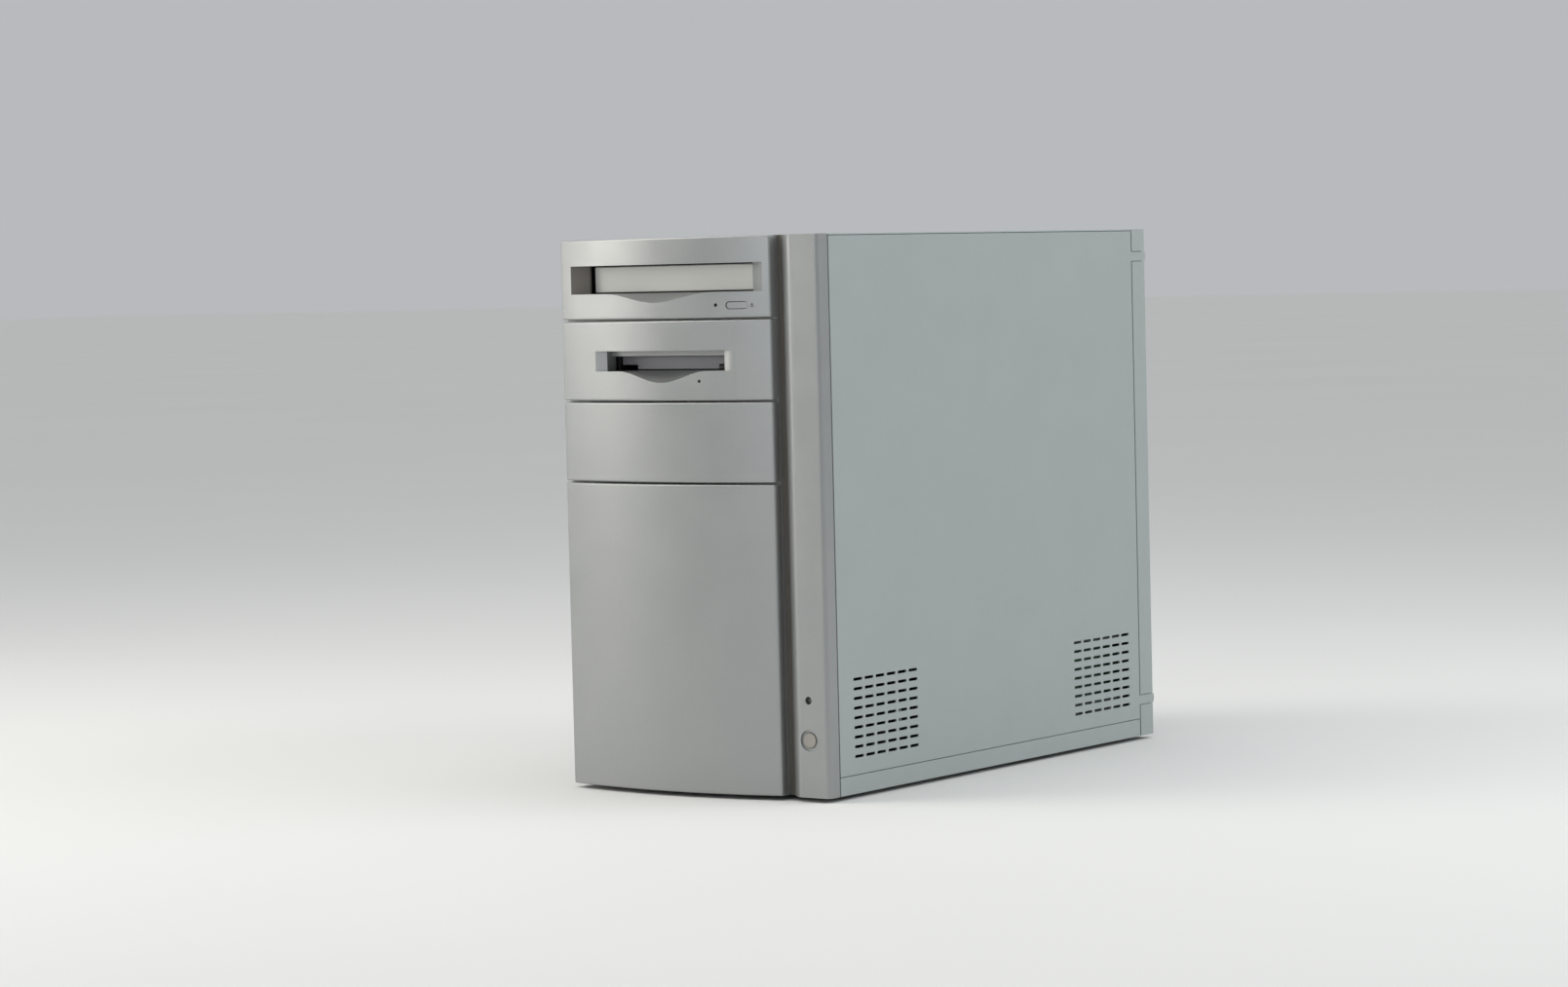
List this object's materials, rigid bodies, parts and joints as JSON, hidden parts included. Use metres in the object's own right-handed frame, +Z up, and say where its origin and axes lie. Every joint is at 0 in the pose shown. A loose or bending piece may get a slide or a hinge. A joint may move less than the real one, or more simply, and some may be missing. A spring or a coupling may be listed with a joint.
{
  "type": "desktop computer tower",
  "caption": "Mini-tower desktop computer with bowed silver-grey bay panels, a grooved side strip with power button, louvred side panels, opening drives and full internals.",
  "frame": {"origin": "centre of the whole object's bounding box in plan, at the underside of the feet", "axes": "+X to the right seen from the front, +Y from the front towards the back, +Z up"},
  "size_m": [0.208, 0.4224, 0.365],
  "materials": {
    "front_plastic": "satin silver-grey paint over moulded plastic",
    "beige_plastic": "fine satin moulding",
    "painted_steel": "fine textured satin paint",
    "zinc_steel": "zinc plated, dull",
    "black_plastic": "black moulding",
    "grey_plastic": "grey moulding",
    "foot_rubber": "soft black rubber",
    "circuit_board": "green solder mask with fitted components",
    "cast_aluminium": "bare metal",
    "connector_plastic": "moulded connector shells",
    "ribbon_cable": "grey flat cable",
    "lamp_plastic": "clear dark lens"
  },
  "bodies": {
    "case": {"front_bezel": "front_plastic", "optical_bay_panel": "front_plastic", "floppy_bay_panel": "front_plastic", "blank_bay_panel": "front_plastic", "lower_front_cover": "front_plastic", "bottom_pan": "painted_steel", "rear_panel": "painted_steel", "top_cover": "painted_steel", "front_chassis_plate": "zinc_steel", "motherboard_tray": "zinc_steel", "drive_cage": "zinc_steel", "hard_drive_cage": "zinc_steel", "optical_drive": "zinc_steel", "floppy_drive": "zinc_steel", "psu_base": "zinc_steel", "psu_cover": "zinc_steel", "io_shield": "zinc_steel", "slot_cover_upper": "zinc_steel", "slot_cover_lower": "zinc_steel", "cover_screw_1": "zinc_steel", "cover_screw_2": "zinc_steel", "cover_screw_3": "zinc_steel", "cover_screw_4": "zinc_steel", "speaker": "black_plastic", "floppy_carrier": "black_plastic", "power_inlet": "black_plastic", "psu_fan_frame": "black_plastic", "case_fan_frame": "black_plastic", "processor_fan_frame": "black_plastic", "power_harness": "black_plastic", "front_left_foot": "foot_rubber", "front_right_foot": "foot_rubber", "rear_left_foot": "foot_rubber", "rear_right_foot": "foot_rubber", "power_switch_board": "circuit_board", "motherboard": "circuit_board", "memory_module": "circuit_board", "graphics_card": "circuit_board", "sound_card": "circuit_board", "psu_circuit_board": "circuit_board", "hard_drive": "cast_aluminium", "processor_heatsink": "cast_aluminium", "io_ports": "connector_plastic", "ide_ribbon": "ribbon_cable", "floppy_ribbon": "ribbon_cable", "power_lamp": "lamp_plastic"},
    "left_panel": {"left_side_panel": "painted_steel"},
    "right_panel": {"right_side_panel": "painted_steel"},
    "disc_drawer": {"disc_tray": "black_plastic", "tray_front": "beige_plastic"},
    "spindle": {"disc_spindle": "black_plastic"},
    "sled": {"laser_sled": "grey_plastic"},
    "drive_button": {"optical_eject_button": "front_plastic"},
    "power_button": {"power_button": "beige_plastic"},
    "floppy_flap": {"floppy_flap": "grey_plastic"},
    "floppy_button": {"floppy_eject_button": "black_plastic"},
    "rocker": {"power_rocker_switch": "black_plastic"},
    "psu_rotor": {"psu_fan_rotor": "black_plastic"},
    "case_rotor": {"case_fan_rotor": "black_plastic"},
    "processor_rotor": {"processor_fan_rotor": "black_plastic"}
  },
  "joints": [
    {"name": "left_panel_swing", "type": "hinge", "parent": "case", "child": "left_panel", "pos_m": [-0.104, -0.18695, 0.189], "axis": [0, 0, 1], "range_deg": [0, 35]},
    {"name": "right_panel_swing", "type": "hinge", "parent": "case", "child": "right_panel", "pos_m": [0.104, -0.18695, 0.189], "axis": [0, 0, -1], "range_deg": [0, 35]},
    {"name": "disc_drawer_slide", "type": "slide", "parent": "case", "child": "disc_drawer", "axis": [0, -1, 0], "range_m": [0, 0.14]},
    {"name": "spindle_spin", "type": "hinge", "parent": "case", "child": "spindle", "pos_m": [-0.016, -0.11845, 0.327], "axis": [0, 0, 1], "continuous": true},
    {"name": "sled_slide", "type": "slide", "parent": "case", "child": "sled", "axis": [0, 1, 0], "range_m": [-0.005, 0.03]},
    {"name": "drive_button_press", "type": "slide", "parent": "case", "child": "drive_button", "axis": [0, 1, 0], "range_m": [0, 0.0013], "stiffness_N_per_m": 300},
    {"name": "power_button_press", "type": "slide", "parent": "case", "child": "power_button", "axis": [0, 1, 0], "range_m": [0, 0.0025], "stiffness_N_per_m": 400},
    {"name": "floppy_flap_swing", "type": "hinge", "parent": "case", "child": "floppy_flap", "pos_m": [-0.016, -0.18915, 0.287], "axis": [1, 0, 0], "range_deg": [0, 80], "stiffness_Nm_per_rad": 0.0005},
    {"name": "floppy_button_press", "type": "slide", "parent": "case", "child": "floppy_button", "axis": [0, 1, 0], "range_m": [0, 0.003], "stiffness_N_per_m": 150},
    {"name": "rocker_tilt", "type": "hinge", "parent": "case", "child": "rocker", "pos_m": [0.0233, 0.20355, 0.303], "axis": [1, 0, 0], "range_deg": [0, 12]},
    {"name": "psu_fan_spin", "type": "hinge", "parent": "case", "child": "psu_rotor", "pos_m": [-0.0487, 0.19085, 0.32], "axis": [0, 1, 0], "continuous": true},
    {"name": "case_fan_spin", "type": "hinge", "parent": "case", "child": "case_rotor", "pos_m": [-0.044, 0.19285, 0.189], "axis": [0, 1, 0], "continuous": true},
    {"name": "processor_fan_spin", "type": "hinge", "parent": "case", "child": "processor_rotor", "pos_m": [0.048, 0.12485, 0.195], "axis": [1, 0, 0], "continuous": true}
  ]
}
